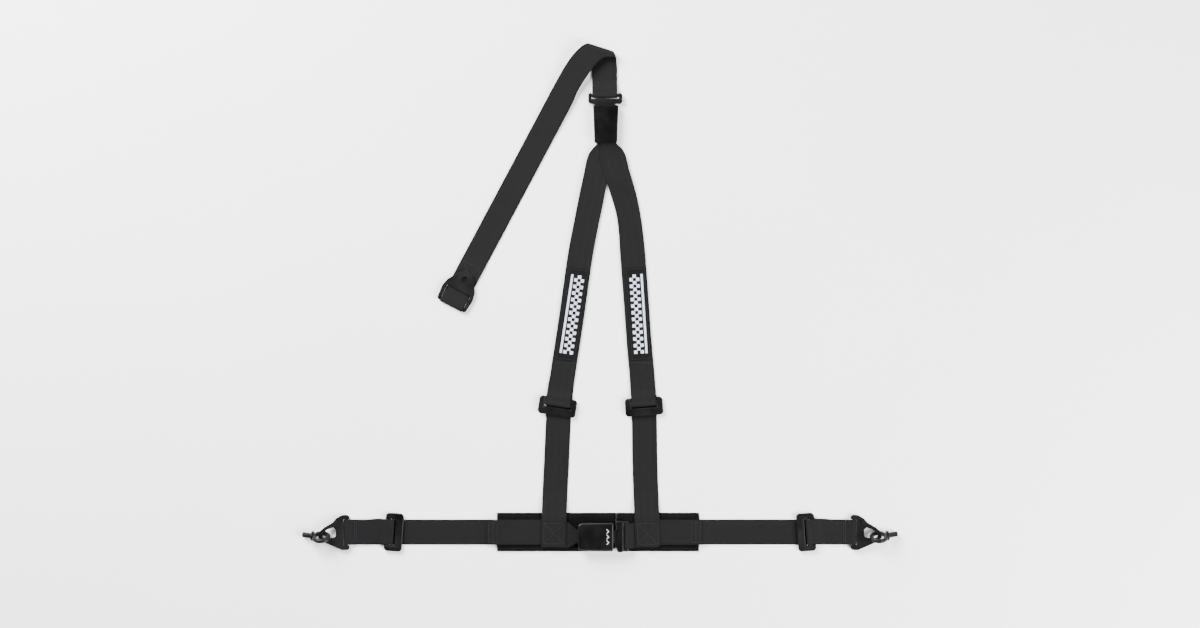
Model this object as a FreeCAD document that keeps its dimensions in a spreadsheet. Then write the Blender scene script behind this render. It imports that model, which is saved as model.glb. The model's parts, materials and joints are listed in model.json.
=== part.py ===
import FreeCAD, Part
import math
import os
import re

# A three-point racing harness, laid out flat: two lap straps that meet at a buckle, two
# shoulder straps that meet in a yoke, and one tail strap, folded back on itself, with an
# anchor plate. +X runs along the lap straps, +Y towards the yoke, +Z up from the surface.
# All sizes are in millimetres and degrees.

Vector = FreeCAD.Vector
Rotation = FreeCAD.Rotation
Placement = FreeCAD.Placement
UP = Vector(0, 0, 1)

SIZES = {
    # webbing and the gaps between layers
    "web_width": 50, "web_thick": 1.4, "layer_two": 3.0, "body_gap": 0.3,
    "loop_radius": 5.2, "bar_width": 5.8,
    # lap straps
    "lap_y": -469, "lap_bar_x": 507, "lap_slide_at": 95, "belt_on_pad": 4.3, "belt_top": 7.3,
    # pads under the buckle
    "pad_thick": 4, "pad_low_y": -507.5, "pad_high_y": -430.5,
    # snap hook, its gate and the eyebolt
    "hook_thick": 4, "hook_tilt": 9, "rivet_x": 19, "rivet_y": 18, "rivet_radius": 2.5,
    "gate_gap": 1.2, "gate_thick": 1.0, "ring_radius": 14.5, "ring_wire": 4.5, "ring_x": 49,
    "ring_y": -8.9, "ring_z": 17.6, "ring_lean": 60, "ring_dip": 16, "collar_radius": 10,
    "collar_from": 16.5, "collar_length": 4.5, "shank_radius": 5.556, "shank_end": 40,
    "shank_chamfer": 0.8,
    # three-bar slide
    "slide_low": 1.9, "slide_thick": 5.5, "slide_step": 5.6, "slide_bar_x": -3.5,
    "slide_bar_z": 5.7, "slide_bar_radius": 2.2, "slide_half": 27,
    # yoke and its covers
    "yoke_x": 10.5, "yoke_z": 8.2, "yoke_thick": 3, "yoke_top_bar": 403.5, "yoke_low_bar": 320,
    "cover_low_y": 309, "cover_high_y": 384, "cover_wall": 1.5, "cover_part": 9.9,
    "cover_top": 17.3,
    # fold of the tail strap, and the anchor plate
    "fold_radius": 8.4, "fold_z": 10, "fold_y": 491.5, "anchor_thick": 3, "anchor_hole": 6,
    "anchor_hole_x": 60.5,
    # buckle, from the bottom up
    "buckle_y": -477, "buckle_low": 4.3, "buckle_part": 12.5, "buckle_high": 26,
    "buckle_wall": 1.6, "frame_low": 9.3, "frame_thick": 3, "tongue_low": 12.7,
    "tongue_thick": 2.5, "latch_tooth": 13.7, "latch_low": 17.3, "latch_thick": 2.5,
    "button_low": 16.2, "button_thick": 7.4, "leaf_width": 10, "leaf_thick": 0.55,
    # woven label patches on the shoulder straps
    "label_width": 40, "label_length": 185, "label_thick": 0.8,
}

# Edges of the shoulder straps' shape in plan: centre x, centre y and half the width. The
# straps are gathered where they enter the yoke, and lie at full width below it.
LEFT_SHOULDER = [
    (12, 324, 15.4), (12, 305, 16.5), (5, 288, 22.5), (-7.5, 247, 24.6), (-14.5, 213, 25),
    (-23, 170, 25), (-37.6, 95, 25), (-51.6, -1, 25), (-68.2, -113, 25), (-79.4, -193, 25),
    (-85.8, -305, 25), (-91, -417, 25), (-92.5, -499, 25),
]
RIGHT_SHOULDER = [
    (15, 324, 15), (15.5, 307, 15.5), (20.5, 292, 22.5), (33, 254, 25), (43.5, 218, 25),
    (54, 180, 24), (64.6, 95, 25), (71.9, -1, 25), (80.2, -113, 25), (87, -193, 25),
    (89.4, -305, 25), (92.8, -417, 25), (96.5, -499, 25),
]
# The tail strap lies straight from its anchor end, then its two edges bend to the fold.
TAIL_STRAIGHT = (-10, 160, 320, 460)
TAIL_LEFT_BEND = [(-78, 447), (-67, 466), (-51, 486), (-28, 502)]
TAIL_RIGHT_BEND = [(-41.5, 415), (-22, 447), (-4, 468), (11, 478), (27.5, 483)]

SHOULDER_SLIDES = {"left": (-85, -218, -8.5), "right": (88, -218, 4)}
LABELS = {"left": (-55.6, -34, -8.6), "right": (76.6, -33, 3.7)}
RETURN_SPLIT = 150      # where the return layer of a shoulder strap starts to follow its slide
RETURN_END = -177
RIGHT_STRAP_SPLIT = -245

doc = FreeCAD.newDocument("RacingHarness")
sheet = doc.addObject("Spreadsheet::Sheet", "Sizes")
for row, (alias, value) in enumerate(SIZES.items(), start=1):
    sheet.set(f"A{row}", alias)
    sheet.set(f"B{row}", str(value))
    sheet.setAlias(f"B{row}", alias)
doc.recompute()

nodes = []


# ---- helpers -------------------------------------------------------------------------

def bound(text):
    """An expression on the sheet's cells, from one that names them as plain words."""
    return re.sub(r"[a-z][a-z_]*", r"Sizes.\g<0>", str(text))


def finish(piece, label, placement=None):
    """Name a finished sub-part, place it and list it for export."""
    piece.Label = label
    if placement is not None:
        piece.Placement = placement
    nodes.append(piece)
    return piece


def turned(x, y, z, angle, axis=UP):
    return Placement(Vector(x, y, z), Rotation(axis, angle))


def upright(origin, along):
    """A sketch plane that stands on the surface: its x runs along, and its y runs up."""
    return Placement(origin, Rotation(along, UP, along.cross(UP), "XYZ"))


def outline(points):
    """Closed line and arc geometry through corners (x, y) or (x, y, corner radius)."""
    corners = [(Vector(p[0], p[1], 0), p[2] if len(p) > 2 else 0) for p in points]
    ends = []
    for index, (corner, radius) in enumerate(corners):
        before = (corners[index - 1][0] - corner).normalize()
        after = (corners[(index + 1) % len(corners)][0] - corner).normalize()
        if not radius:
            ends.append((corner, None, corner))
            continue
        half = before.getAngle(after) / 2
        reach = radius / math.tan(half)
        middle = corner + (before + after).normalize() * (radius / math.sin(half) - radius)
        ends.append((corner + before * reach, middle, corner + after * reach))
    made = []
    for index, (first, middle, last) in enumerate(ends):
        if middle is not None:
            made.append(Part.Arc(first, middle, last))
        made.append(Part.LineSegment(last, ends[(index + 1) % len(ends)][0]))
    return made


def box(x_low, x_high, y_low, y_high, radius=0):
    return outline([(x_low, y_low, radius), (x_high, y_low, radius),
                    (x_high, y_high, radius), (x_low, y_high, radius)])


def circle(x, y, radius):
    return [Part.Circle(Vector(x, y, 0), UP, radius)]


def new_body():
    return doc.addObject("PartDesign::Body", "Body")


def flat_sketch(body, geometry, height):
    """A sketch on the body's ground plane, raised to a height given by the sheet."""
    plane = [f for f in body.Origin.OriginFeatures if f.Role == "XY_Plane"][0]
    made = body.newObject("Sketcher::SketchObject", "Outline")
    made.AttachmentSupport = [(plane, "")]
    made.MapMode = "FlatFace"
    made.setExpression("AttachmentOffset.Base.z", bound(height))
    made.addGeometry(geometry, False)
    return made


def add(body, geometry, low, height):
    """Add material above an outline."""
    pad = body.newObject("PartDesign::Pad", "Pad")
    pad.Profile = flat_sketch(body, geometry, low)
    pad.setExpression("Length", bound(height))
    doc.recompute()
    return pad


def cut(body, geometry, low, height):
    """Take material away above an outline, and make sure that some was there."""
    before = body.Shape.Volume
    pocket = body.newObject("PartDesign::Pocket", "Pocket")
    pocket.Profile = flat_sketch(body, geometry, low)
    pocket.Reversed = True
    pocket.setExpression("Length", bound(height))
    doc.recompute()
    if body.Shape.Volume >= before - 1e-6:
        raise RuntimeError(f"a pocket in {body.Name} cut nothing")
    return pocket


def ease(body, radius, wanted):
    """Round the edges of a body that a test picks out."""
    base = body.Tip
    names = [f"Edge{i}" for i, e in enumerate(base.Shape.Edges, start=1) if wanted(e)]
    fillet = body.newObject("PartDesign::Fillet", "Fillet")
    fillet.Base = (base, names)
    fillet.Radius = radius
    doc.recompute()
    return fillet


def level(height):
    """A test for edges that lie all at one height."""
    def lies(edge):
        bounds = edge.BoundBox
        return abs(bounds.ZMin - height) < 1e-3 and abs(bounds.ZMax - height) < 1e-3
    return lies


def path(points):
    """A side view of webbing: a sketch of straight runs, with ("arc", middle, end) bends."""
    made = doc.addObject("Sketcher::SketchObject", "Path")
    here = Vector(*points[0], 0)
    geometry = []
    for step in points[1:]:
        if step[0] == "arc":
            end = Vector(*step[2], 0)
            geometry.append(Part.Arc(here, Vector(*step[1], 0), end))
        else:
            end = Vector(*step, 0)
            geometry.append(Part.LineSegment(here, end))
        here = end
    made.addGeometry(geometry, False)
    return made


def strip(points, placement, width="web_width", side=1, thick="web_thick"):
    """Webbing of even thickness: a path, thickened to its right (1) or left (-1) side, and
    drawn out across."""
    skin = doc.addObject("Part::Offset2D", "Skin")
    skin.Source = path(points)
    skin.Mode = "Skin"
    skin.Join = "Intersection"
    skin.Fill = True
    skin.setExpression("Value", bound(f"{side} * {thick}"))
    made = doc.addObject("Part::Extrusion", "Strip")
    made.Base = skin
    made.DirMode = "Normal"
    made.Symmetric = True
    made.Solid = True
    made.setExpression("LengthFwd", bound(width))
    made.Placement = placement
    return made


def plan_prism(edges, height=40):
    """A tall prism over a closed plan, which trims webbing to its shape."""
    plan = doc.addObject("Part::Feature", "Plan")
    plan.Shape = Part.Face(Part.Wire(edges))
    made = doc.addObject("Part::Extrusion", "Trim")
    made.Base = plan
    made.DirMode = "Custom"
    made.Dir = UP
    made.LengthFwd = height
    made.LengthRev = height
    made.Solid = True
    return made


def straight_edges(points):
    corners = [Vector(x, y, 0) for x, y in points]
    return [Part.LineSegment(a, b).toShape() for a, b in zip(corners, corners[1:] + corners[:1])]


def smooth_plan(left, right):
    """A band's plan between two smooth edges, closed by straight ends."""
    sides = []
    for points in (left, right):
        curve = Part.BSplineCurve()
        curve.interpolate(points)
        sides.append(curve.toShape())
    ends = [Part.LineSegment(left[i], right[i]).toShape() for i in (0, -1)]
    return [sides[0], ends[1], sides[1], ends[0]]


def curved_edges(stations):
    """A band's plan: two smooth edges, half a width to each side of its middle line."""
    middle = Part.BSplineCurve()
    middle.interpolate([Vector(x, y, 0) for x, y, _ in stations])
    left, right = [], []
    for x, y, half in stations:
        point = Vector(x, y, 0)
        along = Vector(*middle.tangent(middle.parameter(point))[0])
        side = UP.cross(along)
        left.append(point + side * half)
        right.append(point - side * half)
    return smooth_plan(left, right)


def trimmed(band, trim, label):
    made = doc.addObject("Part::Common", "Webbing")
    made.Base = band
    made.Tool = trim
    return finish(made, label)


def coil(label, radius, wire, pitch, length, placement):
    """A compression spring: a round wire swept along a helix."""
    helix = doc.addObject("Part::Helix", "Helix")
    helix.Pitch = pitch
    helix.Height = length
    helix.Radius = radius
    profile = doc.addObject("Part::Circle", "Wire")
    profile.Radius = wire
    profile.Placement = turned(radius, 0, 0, 90, Vector(1, 0, 0))
    made = doc.addObject("Part::Sweep", "Coil")
    made.Sections = [profile]
    made.Spine = (helix, ["Edge1"])
    made.Solid = True
    made.Frenet = True
    if label is None:
        made.Placement = placement
        return made
    return finish(made, label, placement)


# ---- lap ends: snap hook, gate, eyebolt, slide ---------------------------------------

def snap_hook(side, where):
    """A forged hook in its own frame: the webbing bar at the origin, the bowl towards +x."""
    body = new_body()
    hook = outline([
        (-6.5, -35.5, 6), (9, -35.5, 8), (47, -18.5, 9), (56, -11, 7), (56, -1, 5),
        (41.5, 12.5, 2.5), (36.5, 7, 1.5), (47.5, -2.5, 3), (47.5, -9.5, 4), (38, -12.5, 5),
        (21, -9.5, 4), (20.5, 4.5, 4), (27, 11.5, 2), (29.5, 17, 2), (20, 28, 10),
        (8, 34.5, 8), (-6.5, 34.5, 6),
    ])
    add(body, hook, "hook_thick / -2", "hook_thick")
    half_bar = sheet.bar_width / 2
    cut(body, box(half_bar, 6.4, -25.8, 25.8, 1.5), "hook_thick / -2", "hook_thick")
    cut(body, box(-7, -half_bar, -26.5, 26.5), "hook_thick / -2", "hook_thick")
    rivet_hole = circle(sheet.rivet_x, sheet.rivet_y, sheet.rivet_radius)
    cut(body, rivet_hole, "hook_thick / -2", "hook_thick")
    finish(body, f"snap_hook_{side}", where)


def gate(side, where):
    """A folded sheet gate: a cheek on each face of the hook, joined across its mouth."""
    body = new_body()
    cheek = outline([
        (13.5, 17, 4), (19, 24, 5), (31, 17, 3), (41, 11.5, 2), (37.5, 6.5, 2), (18, 12.5, 5),
    ])
    far = "(hook_thick / 2 + gate_gap)"
    add(body, cheek, far, "gate_thick")
    bridge = outline([(31.2, 13.6), (35.2, 11.2), (36, 12.4), (32, 14.8)])
    add(body, bridge, f"{far} * -1", f"{far} * 2")
    add(body, cheek, f"{far} * -1 - gate_thick", "gate_thick")
    pivot = circle(sheet.rivet_x, sheet.rivet_y, sheet.rivet_radius + 0.05)
    cut(body, pivot, f"{far} * -1 - gate_thick", f"({far} + gate_thick) * 2")
    finish(body, f"gate_{side}", where)


def gate_rivet(side, where):
    body = new_body()
    far = "(hook_thick / 2 + gate_gap + gate_thick + body_gap / 3)"
    shaft = circle(sheet.rivet_x, sheet.rivet_y, sheet.rivet_radius)
    head = circle(sheet.rivet_x, sheet.rivet_y, 4.2)
    add(body, shaft, f"{far} * -1", f"{far} * 2")
    add(body, head, far, "gate_thick")
    add(body, head, f"{far} * -1 - gate_thick", "gate_thick")
    finish(body, f"gate_rivet_{side}", where)


def gate_spring(side, where):
    """A single-turn wire spring round the rivet, between the hook and the upper cheek."""
    turn = doc.addObject("Part::Torus", "Turn")
    turn.Radius1 = 3.4
    turn.Radius2 = 0.4
    lift = sheet.hook_thick / 2 + sheet.gate_gap / 2
    turn.Placement = turned(sheet.rivet_x, sheet.rivet_y, lift, 0)
    leg = doc.addObject("Part::Cylinder", "Leg")
    leg.Radius = 0.4
    leg.Height = 11
    leg.Placement = Placement(Vector(sheet.rivet_x + 0.5, sheet.rivet_y - 3.4, lift),
                              Rotation(UP, Vector(0.9, -0.3, 0)))
    made = doc.addObject("Part::Fuse", "Spring")
    made.Base = turn
    made.Tool = leg
    finish(made, f"gate_spring_{side}", where)


def eyebolt(side, where):
    """A forged ring with a collar and a threaded shank along +x, the ring at the origin."""
    ring = doc.addObject("Part::Torus", "Ring")
    ring.setExpression("Radius1", bound("ring_radius"))
    ring.setExpression("Radius2", bound("ring_wire"))
    lying = Rotation(Vector(0, 1, 0), 90)
    collar = doc.addObject("Part::Cylinder", "Collar")
    collar.setExpression("Radius", bound("collar_radius"))
    collar.setExpression("Height", bound("collar_length"))
    collar.Placement = Placement(Vector(sheet.collar_from, 0, 0), lying)
    shank = doc.addObject("Part::Cylinder", "Shank")
    shank.setExpression("Radius", bound("shank_radius"))
    shank.setExpression("Height", bound("shank_end - collar_from"))
    shank.Placement = collar.Placement
    eye = doc.addObject("Part::MultiFuse", "Eye")
    eye.Shapes = [ring, collar, shank]
    doc.recompute()
    made = doc.addObject("Part::Chamfer", "Eyebolt")
    made.Base = eye
    tip = sheet.shank_end
    rims = [i for i, e in enumerate(eye.Shape.Edges, start=1)
            if abs(e.BoundBox.XMin - tip) < 1e-3 and abs(e.BoundBox.XMax - tip) < 1e-3]
    made.Edges = [(i, sheet.shank_chamfer, sheet.shank_chamfer) for i in rims]
    finish(made, f"eyebolt_{side}", where)


def slide_frame(label, where):
    """A three-bar slide's frame: a low outer bar, a window and a broad bar towards +x."""
    body = new_body()
    half = sheet.slide_half
    add(body, box(-18, 18, -38, 38, 7), "slide_low", "slide_thick")
    cut(body, box(-10.5, 2.5, -half, half, 1), "slide_low", "slide_thick")
    cut(body, box(-19, -8, -half, half), "slide_step", "slide_thick")
    high = sheet.slide_low + sheet.slide_thick
    rim = level(high)
    ease(body, 1.6, lambda e: rim(e) and (abs(e.BoundBox.Center.y) > 30 or e.BoundBox.XMin > 2))
    finish(body, label, where)


def slide_bar(label, where):
    """The knurled bar that the webbing is sewn round, held between the frame's sides."""
    bar = doc.addObject("Part::Cylinder", "Bar")
    bar.setExpression("Radius", bound("slide_bar_radius"))
    bar.setExpression("Height", bound("slide_half * 2"))
    centre = Vector(sheet.slide_bar_x, sheet.slide_half, sheet.slide_bar_z)
    local = Placement(centre, Rotation(Vector(1, 0, 0), 90))
    finish(bar, label, where.multiply(local))


def slide_wrap(label, where):
    """The webbing that comes over the low bar and wraps the knurled bar."""
    x, z, out = sheet.slide_bar_x, sheet.slide_bar_z, 3.8
    steps = [(-32, 3.0), (-20, 7.3), (-11, 7.3), (x - 1, z + out), (x, z + out),
             ("arc", (x + out, z), (x, z - out)), (x - 5, z - out)]
    local = upright(Vector(0, 0, 0), Vector(1, 0, 0))
    finish(strip(steps, where.multiply(local)), label)


def slide_set(name, where):
    slide_frame(f"slide_frame_{name}", where)
    slide_bar(f"slide_bar_{name}", where)
    slide_wrap(f"slide_wrap_{name}", where)


def lap_end(side):
    """Everything outboard of one lap strap. Its frame runs from the hook bar inwards."""
    sign = -1 if side == "left" else 1
    bar = Vector(sign * sheet.lap_bar_x, sheet.lap_y, 0)
    inward = Rotation(UP, 0 if side == "left" else 180)
    radius = sheet.loop_radius
    steps = [(34, 0), (0, 0), ("arc", (-radius, radius), (0, 2 * radius)),
             (22, sheet.layer_two), (60, sheet.layer_two)]
    across = upright(bar, inward.multVec(Vector(1, 0, 0)))
    finish(strip(steps, across), f"lap_loop_{side}")
    tilt = 180 + sheet.hook_tilt if side == "left" else -sheet.hook_tilt
    hook_turn = Rotation(Vector(0, 1, 0), tilt)
    hook_place = Placement(bar + UP * radius, hook_turn)
    for piece in (snap_hook, gate, gate_rivet, gate_spring):
        piece(side, hook_place)
    dip = 180 - sheet.ring_dip if side == "left" else sheet.ring_dip
    yaw = -6.5 if side == "left" else 9
    lean = sheet.ring_lean if side == "left" else -sheet.ring_lean
    ring = Vector(sign * (sheet.lap_bar_x + sheet.ring_x), sheet.lap_y + sheet.ring_y,
                  sheet.ring_z)
    turn = Rotation(UP, yaw).multiply(Rotation(Vector(0, 1, 0), dip))
    turn = turn.multiply(Rotation(Vector(1, 0, 0), lean))
    eyebolt(side, Placement(ring, turn))
    slide_at = bar + inward.multVec(Vector(sheet.lap_slide_at, 0, 0))
    tip = -4 if side == "left" else 184
    slide_set(f"lap_{side}", Placement(slide_at, Rotation(UP, tip)))


# ---- lap straps and pads -------------------------------------------------------------

def lap_strap(side):
    """The doubled webbing from under the slide, over the pad and round the buckle's bar."""
    sign = -1 if side == "left" else 1
    low, high, two = sheet.belt_on_pad, sheet.belt_top, sheet.layer_two
    if side == "left":
        bar, middle, radius = 38.5, sheet.frame_low + sheet.frame_thick / 2, 4.6
        pad_edge, seam, knee, rest = 206, 226, 64, 9
    else:
        bar, middle, radius = 52.8, sheet.tongue_low + sheet.tongue_thick / 2, 4.8
        pad_edge, seam, knee, rest = 198, 203, 68, 4
    inner = sheet.lap_bar_x - 66
    steps = [(inner, 0), (pad_edge + 26, 0), (pad_edge + 3, low),
             (knee - 3, low), (bar + rest, middle - radius), (bar, middle - radius),
             ("arc", (bar - radius, middle), (bar, middle + radius)),
             (bar + 3, middle + radius - 0.6), (knee, high), (pad_edge + 3, high)]
    if side == "left":
        steps.append((seam, two + 1.2))
    band = strip(steps, upright(Vector(0, sheet.lap_y, 0), Vector(sign, 0, 0)), "web_width * 2")
    top, bottom = sheet.lap_y + 25, sheet.lap_y - 25
    if side == "left":
        plan = [(-inner - 1, top), (-110, top), (-64, -449), (-46, -464), (-30, -464),
                (-30, -490), (-46, -490), (-64, -501), (-110, bottom), (-inner - 1, bottom)]
    else:
        plan = [(inner + 1, top), (110, top), (62, -451), (40, -451),
                (40, -501), (62, -501), (110, bottom), (inner + 1, bottom)]
    trimmed(band, plan_prism(straight_edges(plan)), f"lap_strap_{side}")


def lap_pad(side):
    body = new_body()
    low, high = sheet.pad_low_y, sheet.pad_high_y
    if side == "left":
        plan = outline([(-206, low), (24.4, low), (31.2, low + 9), (31.2, high), (-206, high)])
    else:
        plan = outline([(36.4, low), (198, low), (198, high), (32.4, high), (32.4, low + 9)])
    add(body, plan, "0", "pad_thick")
    finish(body, f"lap_pad_{side}")


# ---- buckle and tongue ---------------------------------------------------------------

def buckle_outline():
    y = sheet.buckle_y
    return outline([(-44, y - 24, 6), (-36, y - 27, 10), (27, y - 27, 3),
                    (27, y + 27, 3), (-36, y + 27, 10), (-44, y + 24, 6)])


def buckle_covers():
    """Two moulded shells, open at the back for the webbing and at the front for the tongue."""
    y, wall = sheet.buckle_y, sheet.buckle_wall
    inside = box(-44 + wall, 27 - wall, y - 27 + wall, y + 27 - wall, 4)
    lower = new_body()
    add(lower, buckle_outline(), "buckle_low", "buckle_part - buckle_low - 0.1")
    ease(lower, 1.2, level(sheet.buckle_low))
    cut(lower, inside, "buckle_low + buckle_wall", "buckle_part - buckle_low - buckle_wall")
    cut(lower, box(-45, -41, y - 14, y + 14), "buckle_low + buckle_wall", "buckle_part")
    finish(lower, "buckle_cover_lower")
    upper = new_body()
    add(upper, buckle_outline(), "buckle_part + 0.1", "buckle_high - buckle_part - 0.1")
    ease(upper, 3.0, level(sheet.buckle_high))
    cut(upper, inside, "buckle_part + 0.1", "buckle_high - buckle_wall - buckle_part - 0.1")
    cut(upper, box(-45, -41, y - 14, y + 14), "buckle_part", "4")
    mouth = box(24, 28, y - 13.6, y + 13.6)
    cut(upper, mouth, "buckle_part", "button_low + button_thick + body_gap - buckle_part")
    finish(upper, "buckle_cover_upper")


def buckle_inside():
    """The frame plate, the latch that drops into the tongue, and the ejector behind it."""
    y = sheet.buckle_y
    frame = new_body()
    add(frame, box(-41, 24, y - 20, y + 20, 3), "frame_low", "frame_thick")
    cut(frame, box(-36, -32, y - 14, y + 14, 1), "frame_low", "frame_thick")
    finish(frame, "buckle_frame")
    latch = new_body()
    add(latch, box(-10, 5.5, y - 8, y + 8, 1.5), "latch_low", "latch_thick")
    add(latch, box(0, 4, y - 5, y + 5, 0.8), "latch_tooth", "latch_low - latch_tooth + 1")
    finish(latch, "latch")
    ejector = new_body()
    add(ejector, box(-22, -12.3, y - 7, y + 7, 1), "tongue_low", "tongue_thick")
    add(ejector, box(-22, -19, y - 7, y + 7, 1), "tongue_low", "tongue_thick + 2")
    finish(ejector, "ejector")
    button = new_body()
    add(button, box(10, 26.2, y - 13, y + 13, 1), "button_low", "button_thick")
    finish(button, "release_button")


def buckle_springs():
    y = sheet.buckle_y
    along = Vector(0, 1, 0)
    coil("ejector_spring", 1.6, 0.4, 1.9, 8.6, turned(-31.4, y, 14.9, 90, along))
    pair = doc.addObject("Part::Compound", "Pair")
    pair.Links = [coil(None, 1.6, 0.4, 2.2, 11, turned(-1.8, y + side * 10.5, 20, 90, along))
                  for side in (-1, 1)]
    finish(pair, "button_springs")
    steps = [(-24, 24.2), (-15, 24.2), (-6, 20.7), (-1, 20.7)]
    leaf = strip(steps, upright(Vector(0, y, 0), Vector(1, 0, 0)), "leaf_width", 1, "leaf_thick")
    finish(leaf, "latch_spring")


def tongue():
    """The steel tongue with its latch hole and webbing bar, and the grip moulded on it."""
    y = sheet.buckle_y
    plate = new_body()
    plan = outline([(-12, y - 9, 3), (-6, y - 12.5, 3), (38, y - 12.5), (38, y - 30, 2),
                    (57.6, y - 30, 5), (57.6, y + 30, 5), (38, y + 30, 2), (38, y + 12.5),
                    (-6, y + 12.5, 3), (-12, y + 9, 3)])
    add(plate, plan, "tongue_low", "tongue_thick")
    cut(plate, box(-3.8, 5, y - 6, y + 6, 1), "tongue_low", "tongue_thick")
    cut(plate, box(46.6, 50.3, y - 26.5, y + 26.5, 1), "tongue_low", "tongue_thick")
    cut(plate, box(55.3, 58, y - 26.5, y + 26.5), "tongue_low", "tongue_thick")
    finish(plate, "tongue_plate")
    grip = new_body()
    add(grip, box(34, 46.4, y - 31, y + 31, 4), "tongue_low - 3.6", "tongue_thick + 7.2")
    low, high = sheet.tongue_low - 3.6, sheet.tongue_low + sheet.tongue_thick + 3.6
    ends = (level(low), level(high))
    ease(grip, 1.5, lambda e: ends[0](e) or ends[1](e))
    cut(grip, box(33, 38, y - 12.5, y + 12.5), "tongue_low", "tongue_thick")
    cut(grip, box(38, 47, y - 30, y + 30), "tongue_low", "tongue_thick")
    finish(grip, "tongue_grip")


# ---- shoulder straps -----------------------------------------------------------------

def shoulder_straps():
    """Main layers, the parts of the return layers by the yoke, and the lower right part.

    The four layers cross below the yoke, so each has its own heights there. The left
    strap's loop round the yoke's bar lies inside the right strap's.
    """
    bar, middle, two = sheet.yoke_low_bar, sheet.yoke_z, sheet.layer_two
    lap_end_rise = [(-440, 7.6), (-425, 4.8), (-390, 0)]
    along = upright(Vector(0, 0, 0), Vector(0, 1, 0))
    width = "web_width * 6"
    inner, outer = 4.8, 6.4
    left = [(-499, 7.6)] + lap_end_rise + [(190, 0), (215, 1.6), (285, 1.6), (305, 3.4),
            (bar, middle - inner), ("arc", (bar + inner, middle), (bar, middle + inner)),
            (296, 6.4), (275, 4.6), (205, 4.6), (175, two), (RETURN_SPLIT, two)]
    trimmed(strip(left, along, width, -1), plan_prism(curved_edges(LEFT_SHOULDER)),
            "shoulder_strap_left")
    right = [(RIGHT_STRAP_SPLIT, 0), (290, 0), (304, 1.8), (bar, middle - outer),
             ("arc", (bar + outer, middle), (bar, middle + outer)),
             (296, 8.0), (275, 6.2), (232, 6.2), (198, two), (RETURN_SPLIT, two)]
    trimmed(strip(right, along, width, -1), plan_prism(curved_edges(RIGHT_SHOULDER)),
            "shoulder_strap_right")
    lower = [(-499, 7.6)] + lap_end_rise + [(RIGHT_STRAP_SPLIT - 0.3, 0)]
    trimmed(strip(lower, along, width, -1), plan_prism(curved_edges(RIGHT_SHOULDER)),
            "shoulder_strap_right_end")
    for side, stations in (("left", LEFT_SHOULDER), ("right", RIGHT_SHOULDER)):
        back = [(RETURN_SPLIT - 0.3, two), (RETURN_END + 8, two), (RETURN_END, two + 0.3)]
        trimmed(strip(back, along, width, -1), plan_prism(curved_edges(stations)),
                f"shoulder_return_{side}")


def labels():
    for side, (x, y, angle) in LABELS.items():
        body = new_body()
        half_w, half_l = sheet.label_width / 2, sheet.label_length / 2
        add(body, box(-half_w, half_w, -half_l, half_l, 1), "layer_two", "label_thick")
        finish(body, f"label_{side}", turned(x, y, 0, angle))


# ---- yoke ----------------------------------------------------------------------------

def yoke():
    """The steel yoke plate and the two shells that cover its lower slot."""
    x, half_bar = sheet.yoke_x, sheet.bar_width / 2
    top, low = sheet.yoke_top_bar, sheet.yoke_low_bar
    plate = new_body()
    plan = outline([
        (x - 20, low - half_bar, 4), (x + 20, low - half_bar, 4), (x + 20, 386.5, 2),
        (x + 34, 386.5, 6), (x + 34, top + 5.5, 6), (x - 34, top + 5.5, 6),
        (x - 34, 386.5, 6), (x - 20, 386.5, 2),
    ])
    low_face = "yoke_z - yoke_thick / 2"
    add(plate, plan, low_face, "yoke_thick")
    cut(plate, box(x - 27.5, x + 27.5, 396.5, top - half_bar, 1.5), low_face, "yoke_thick")
    cut(plate, box(x - 27.5, x + 27.5, top + half_bar, top + 6), low_face, "yoke_thick")
    cut(plate, box(x - 16.8, x + 18, low + half_bar, low + 12, 1.5), low_face, "yoke_thick")
    finish(plate, "yoke_plate")

    y_low, y_high, wall = sheet.cover_low_y, sheet.cover_high_y, sheet.cover_wall
    centre = x + 1
    shell = [(centre - 22.7, y_low, 3), (centre + 22.7, y_low, 3),
             (centre + 25.3, y_high, 4), (centre - 25.3, y_high, 4)]
    hollow = [(centre - 22.7 + wall, y_low + wall, 2), (centre + 22.7 - wall, y_low + wall, 2),
              (centre + 25.3 - wall, y_high - wall, 2), (centre - 25.3 + wall, y_high - wall, 2)]
    mouth = box(x - 16.5, x + 22.5, y_low - 2, y_low + 5)
    neck = box(x - 20.3, x + 20.3, y_high - 4, y_high + 2)
    rear = new_body()
    add(rear, outline(shell), "0", "cover_part - 0.1")
    ease(rear, 1.0, level(0))
    cut(rear, outline(hollow), "cover_wall", "cover_part")
    cut(rear, mouth, "cover_wall", "cover_part")
    cut(rear, neck, "yoke_z - yoke_thick / 2 - 0.1", "cover_part")
    finish(rear, "yoke_cover_rear")
    front = new_body()
    add(front, outline(shell), "cover_part + 0.1", "cover_top - cover_part - 0.1")
    ease(front, 2.4, level(sheet.cover_top))
    cut(front, outline(hollow), "cover_part + 0.1", "cover_top - cover_wall - cover_part - 0.1")
    cut(front, mouth, "cover_part", "3")
    finish(front, "yoke_cover_front")


# ---- tail strap and anchor plate -----------------------------------------------------

TAIL_ORIGIN = Vector(-299, -18, 0)
TAIL_ALONG = Vector(0.47, 0.883, 0).normalize()
FOLD_LINE = Vector(0.949, -0.315, 0).normalize()


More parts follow.
